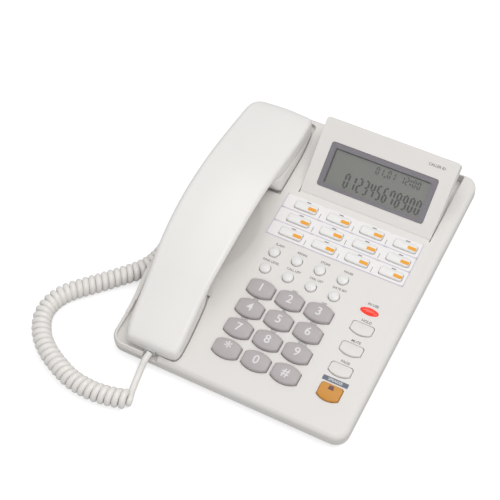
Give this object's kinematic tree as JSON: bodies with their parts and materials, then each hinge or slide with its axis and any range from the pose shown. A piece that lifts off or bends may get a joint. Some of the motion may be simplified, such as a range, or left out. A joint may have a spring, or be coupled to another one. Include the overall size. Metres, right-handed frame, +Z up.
{
  "type": "corded landline phone",
  "caption": "Corded desk telephone with a handset on a left cradle, a sloping key face, a tilting display and a coiled cord.",
  "frame": {"origin": "centre of the body's plan, on the table under the feet; the cord is left out", "axes": "+X to the right across the keys, +Y to the rear along the longest side, +Z up"},
  "size_m": [0.2449, 0.2757, 0.0734],
  "materials": {
    "shell_plastic": "satin",
    "handset_plastic": "satin",
    "dial_key_plastic": "satin",
    "key_plastic": "satin",
    "orange_plastic": "satin",
    "foot_rubber": "matte",
    "screw_steel": "plated",
    "board_laminate": "solder mask",
    "mat_rubber": "matte",
    "capsule_metal": "matte",
    "jack_plastic": "matte",
    "plug_plastic": "clear",
    "lens_plastic": "clear",
    "window_glass": "clear",
    "lcd_glass": "satin",
    "cord_jacket": "satin"
  },
  "bodies": {
    "base": {"top_shell": "shell_plastic", "bottom_shell": "shell_plastic", "rubber_feet": "foot_rubber", "shell_screws": "screw_steel", "circuit_board": "board_laminate", "key_mat": "mat_rubber", "loudspeaker": "capsule_metal", "modular_jacks": "jack_plastic", "in_use_lens": "lens_plastic", "base_plug": "plug_plastic", "cord_handset_lead": "cord_jacket", "cord_coil": "cord_jacket", "cord_base_lead": "cord_jacket"},
    "handset": {"handset_back": "handset_plastic", "handset_front": "handset_plastic", "earpiece": "capsule_metal", "microphone": "capsule_metal", "handset_screws": "screw_steel", "handset_plug": "plug_plastic"},
    "display": {"display_front": "shell_plastic", "display_back": "shell_plastic", "display_window": "window_glass", "lcd_panel": "lcd_glass"},
    "hook": {"hook_plunger": "shell_plastic"},
    "key_1_body": {"key_1": "dial_key_plastic"},
    "key_2_body": {"key_2": "dial_key_plastic"},
    "key_3_body": {"key_3": "dial_key_plastic"},
    "key_4_body": {"key_4": "dial_key_plastic"},
    "key_5_body": {"key_5": "dial_key_plastic"},
    "key_6_body": {"key_6": "dial_key_plastic"},
    "key_7_body": {"key_7": "dial_key_plastic"},
    "key_8_body": {"key_8": "dial_key_plastic"},
    "key_9_body": {"key_9": "dial_key_plastic"},
    "key_star_body": {"key_star": "dial_key_plastic"},
    "key_0_body": {"key_0": "dial_key_plastic"},
    "key_hash_body": {"key_hash": "dial_key_plastic"},
    "memory_key_1_body": {"memory_key_1": "key_plastic"},
    "memory_key_2_body": {"memory_key_2": "key_plastic"},
    "memory_key_3_body": {"memory_key_3": "key_plastic"},
    "memory_key_4_body": {"memory_key_4": "key_plastic"},
    "memory_key_5_body": {"memory_key_5": "key_plastic"},
    "memory_key_6_body": {"memory_key_6": "key_plastic"},
    "memory_key_7_body": {"memory_key_7": "key_plastic"},
    "memory_key_8_body": {"memory_key_8": "key_plastic"},
    "memory_key_9_body": {"memory_key_9": "key_plastic"},
    "memory_key_10_body": {"memory_key_10": "key_plastic"},
    "memory_key_11_body": {"memory_key_11": "key_plastic"},
    "memory_key_12_body": {"memory_key_12": "key_plastic"},
    "function_key_1_body": {"function_key_1": "key_plastic"},
    "function_key_2_body": {"function_key_2": "key_plastic"},
    "function_key_3_body": {"function_key_3": "key_plastic"},
    "function_key_4_body": {"function_key_4": "key_plastic"},
    "function_key_5_body": {"function_key_5": "key_plastic"},
    "function_key_6_body": {"function_key_6": "key_plastic"},
    "function_key_7_body": {"function_key_7": "key_plastic"},
    "function_key_8_body": {"function_key_8": "key_plastic"},
    "side_key_1_body": {"side_key_1": "key_plastic"},
    "side_key_2_body": {"side_key_2": "key_plastic"},
    "side_key_3_body": {"side_key_3": "key_plastic"},
    "speaker_key_body": {"speaker_key": "orange_plastic"}
  },
  "joints": [
    {"name": "handset_lift", "type": "slide", "parent": "base", "child": "handset", "axis": [0, -0.1392, 0.9903], "range_m": [0, 0.08]},
    {"name": "hook_rise", "type": "slide", "parent": "base", "child": "hook", "axis": [0, -0.1392, 0.9903], "range_m": [0, 0.005]},
    {"name": "display_tilt", "type": "hinge", "parent": "base", "child": "display", "pos_m": [0.0281, 0.05475, 0.0344], "axis": [1, 0, 0], "range_deg": [-30, 15]},
    {"name": "key_1_press", "type": "slide", "parent": "base", "child": "key_1_body", "axis": [0, 0.1392, -0.9903], "range_m": [0, 0.0015], "stiffness_N_per_m": 400, "springref_m": -0.0008},
    {"name": "key_2_press", "type": "slide", "parent": "base", "child": "key_2_body", "axis": [0, 0.1392, -0.9903], "range_m": [0, 0.0015], "stiffness_N_per_m": 400, "springref_m": -0.0008},
    {"name": "key_3_press", "type": "slide", "parent": "base", "child": "key_3_body", "axis": [0, 0.1392, -0.9903], "range_m": [0, 0.0015], "stiffness_N_per_m": 400, "springref_m": -0.0008},
    {"name": "key_4_press", "type": "slide", "parent": "base", "child": "key_4_body", "axis": [0, 0.1392, -0.9903], "range_m": [0, 0.0015], "stiffness_N_per_m": 400, "springref_m": -0.0008},
    {"name": "key_5_press", "type": "slide", "parent": "base", "child": "key_5_body", "axis": [0, 0.1392, -0.9903], "range_m": [0, 0.0015], "stiffness_N_per_m": 400, "springref_m": -0.0008},
    {"name": "key_6_press", "type": "slide", "parent": "base", "child": "key_6_body", "axis": [0, 0.1392, -0.9903], "range_m": [0, 0.0015], "stiffness_N_per_m": 400, "springref_m": -0.0008},
    {"name": "key_7_press", "type": "slide", "parent": "base", "child": "key_7_body", "axis": [0, 0.1392, -0.9903], "range_m": [0, 0.0015], "stiffness_N_per_m": 400, "springref_m": -0.0008},
    {"name": "key_8_press", "type": "slide", "parent": "base", "child": "key_8_body", "axis": [0, 0.1392, -0.9903], "range_m": [0, 0.0015], "stiffness_N_per_m": 400, "springref_m": -0.0008},
    {"name": "key_9_press", "type": "slide", "parent": "base", "child": "key_9_body", "axis": [0, 0.1392, -0.9903], "range_m": [0, 0.0015], "stiffness_N_per_m": 400, "springref_m": -0.0008},
    {"name": "key_star_press", "type": "slide", "parent": "base", "child": "key_star_body", "axis": [0, 0.1392, -0.9903], "range_m": [0, 0.0015], "stiffness_N_per_m": 400, "springref_m": -0.0008},
    {"name": "key_0_press", "type": "slide", "parent": "base", "child": "key_0_body", "axis": [0, 0.1392, -0.9903], "range_m": [0, 0.0015], "stiffness_N_per_m": 400, "springref_m": -0.0008},
    {"name": "key_hash_press", "type": "slide", "parent": "base", "child": "key_hash_body", "axis": [0, 0.1392, -0.9903], "range_m": [0, 0.0015], "stiffness_N_per_m": 400, "springref_m": -0.0008},
    {"name": "memory_key_1_press", "type": "slide", "parent": "base", "child": "memory_key_1_body", "axis": [0, 0.1392, -0.9903], "range_m": [0, 0.0015], "stiffness_N_per_m": 400, "springref_m": -0.0008},
    {"name": "memory_key_2_press", "type": "slide", "parent": "base", "child": "memory_key_2_body", "axis": [0, 0.1392, -0.9903], "range_m": [0, 0.0015], "stiffness_N_per_m": 400, "springref_m": -0.0008},
    {"name": "memory_key_3_press", "type": "slide", "parent": "base", "child": "memory_key_3_body", "axis": [0, 0.1392, -0.9903], "range_m": [0, 0.0015], "stiffness_N_per_m": 400, "springref_m": -0.0008},
    {"name": "memory_key_4_press", "type": "slide", "parent": "base", "child": "memory_key_4_body", "axis": [0, 0.1392, -0.9903], "range_m": [0, 0.0015], "stiffness_N_per_m": 400, "springref_m": -0.0008},
    {"name": "memory_key_5_press", "type": "slide", "parent": "base", "child": "memory_key_5_body", "axis": [0, 0.1392, -0.9903], "range_m": [0, 0.0015], "stiffness_N_per_m": 400, "springref_m": -0.0008},
    {"name": "memory_key_6_press", "type": "slide", "parent": "base", "child": "memory_key_6_body", "axis": [0, 0.1392, -0.9903], "range_m": [0, 0.0015], "stiffness_N_per_m": 400, "springref_m": -0.0008},
    {"name": "memory_key_7_press", "type": "slide", "parent": "base", "child": "memory_key_7_body", "axis": [0, 0.1392, -0.9903], "range_m": [0, 0.0015], "stiffness_N_per_m": 400, "springref_m": -0.0008},
    {"name": "memory_key_8_press", "type": "slide", "parent": "base", "child": "memory_key_8_body", "axis": [0, 0.1392, -0.9903], "range_m": [0, 0.0015], "stiffness_N_per_m": 400, "springref_m": -0.0008},
    {"name": "memory_key_9_press", "type": "slide", "parent": "base", "child": "memory_key_9_body", "axis": [0, 0.1392, -0.9903], "range_m": [0, 0.0015], "stiffness_N_per_m": 400, "springref_m": -0.0008},
    {"name": "memory_key_10_press", "type": "slide", "parent": "base", "child": "memory_key_10_body", "axis": [0, 0.1392, -0.9903], "range_m": [0, 0.0015], "stiffness_N_per_m": 400, "springref_m": -0.0008},
    {"name": "memory_key_11_press", "type": "slide", "parent": "base", "child": "memory_key_11_body", "axis": [0, 0.1392, -0.9903], "range_m": [0, 0.0015], "stiffness_N_per_m": 400, "springref_m": -0.0008},
    {"name": "memory_key_12_press", "type": "slide", "parent": "base", "child": "memory_key_12_body", "axis": [0, 0.1392, -0.9903], "range_m": [0, 0.0015], "stiffness_N_per_m": 400, "springref_m": -0.0008},
    {"name": "function_key_1_press", "type": "slide", "parent": "base", "child": "function_key_1_body", "axis": [0, 0.1392, -0.9903], "range_m": [0, 0.0015], "stiffness_N_per_m": 400, "springref_m": -0.0008},
    {"name": "function_key_2_press", "type": "slide", "parent": "base", "child": "function_key_2_body", "axis": [0, 0.1392, -0.9903], "range_m": [0, 0.0015], "stiffness_N_per_m": 400, "springref_m": -0.0008},
    {"name": "function_key_3_press", "type": "slide", "parent": "base", "child": "function_key_3_body", "axis": [0, 0.1392, -0.9903], "range_m": [0, 0.0015], "stiffness_N_per_m": 400, "springref_m": -0.0008},
    {"name": "function_key_4_press", "type": "slide", "parent": "base", "child": "function_key_4_body", "axis": [0, 0.1392, -0.9903], "range_m": [0, 0.0015], "stiffness_N_per_m": 400, "springref_m": -0.0008},
    {"name": "function_key_5_press", "type": "slide", "parent": "base", "child": "function_key_5_body", "axis": [0, 0.1392, -0.9903], "range_m": [0, 0.0015], "stiffness_N_per_m": 400, "springref_m": -0.0008},
    {"name": "function_key_6_press", "type": "slide", "parent": "base", "child": "function_key_6_body", "axis": [0, 0.1392, -0.9903], "range_m": [0, 0.0015], "stiffness_N_per_m": 400, "springref_m": -0.0008},
    {"name": "function_key_7_press", "type": "slide", "parent": "base", "child": "function_key_7_body", "axis": [0, 0.1392, -0.9903], "range_m": [0, 0.0015], "stiffness_N_per_m": 400, "springref_m": -0.0008},
    {"name": "function_key_8_press", "type": "slide", "parent": "base", "child": "function_key_8_body", "axis": [0, 0.1392, -0.9903], "range_m": [0, 0.0015], "stiffness_N_per_m": 400, "springref_m": -0.0008},
    {"name": "side_key_1_press", "type": "slide", "parent": "base", "child": "side_key_1_body", "axis": [0, 0.1392, -0.9903], "range_m": [0, 0.0015], "stiffness_N_per_m": 400, "springref_m": -0.0008},
    {"name": "side_key_2_press", "type": "slide", "parent": "base", "child": "side_key_2_body", "axis": [0, 0.1392, -0.9903], "range_m": [0, 0.0015], "stiffness_N_per_m": 400, "springref_m": -0.0008},
    {"name": "side_key_3_press", "type": "slide", "parent": "base", "child": "side_key_3_body", "axis": [0, 0.1392, -0.9903], "range_m": [0, 0.0015], "stiffness_N_per_m": 400, "springref_m": -0.0008},
    {"name": "speaker_key_press", "type": "slide", "parent": "base", "child": "speaker_key_body", "axis": [0, 0.1392, -0.9903], "range_m": [0, 0.0015], "stiffness_N_per_m": 400, "springref_m": -0.0008}
  ],
  "couplings": [
    {"joint": "hook_rise", "follows": "handset_lift", "ratio": 0.0625}
  ]
}
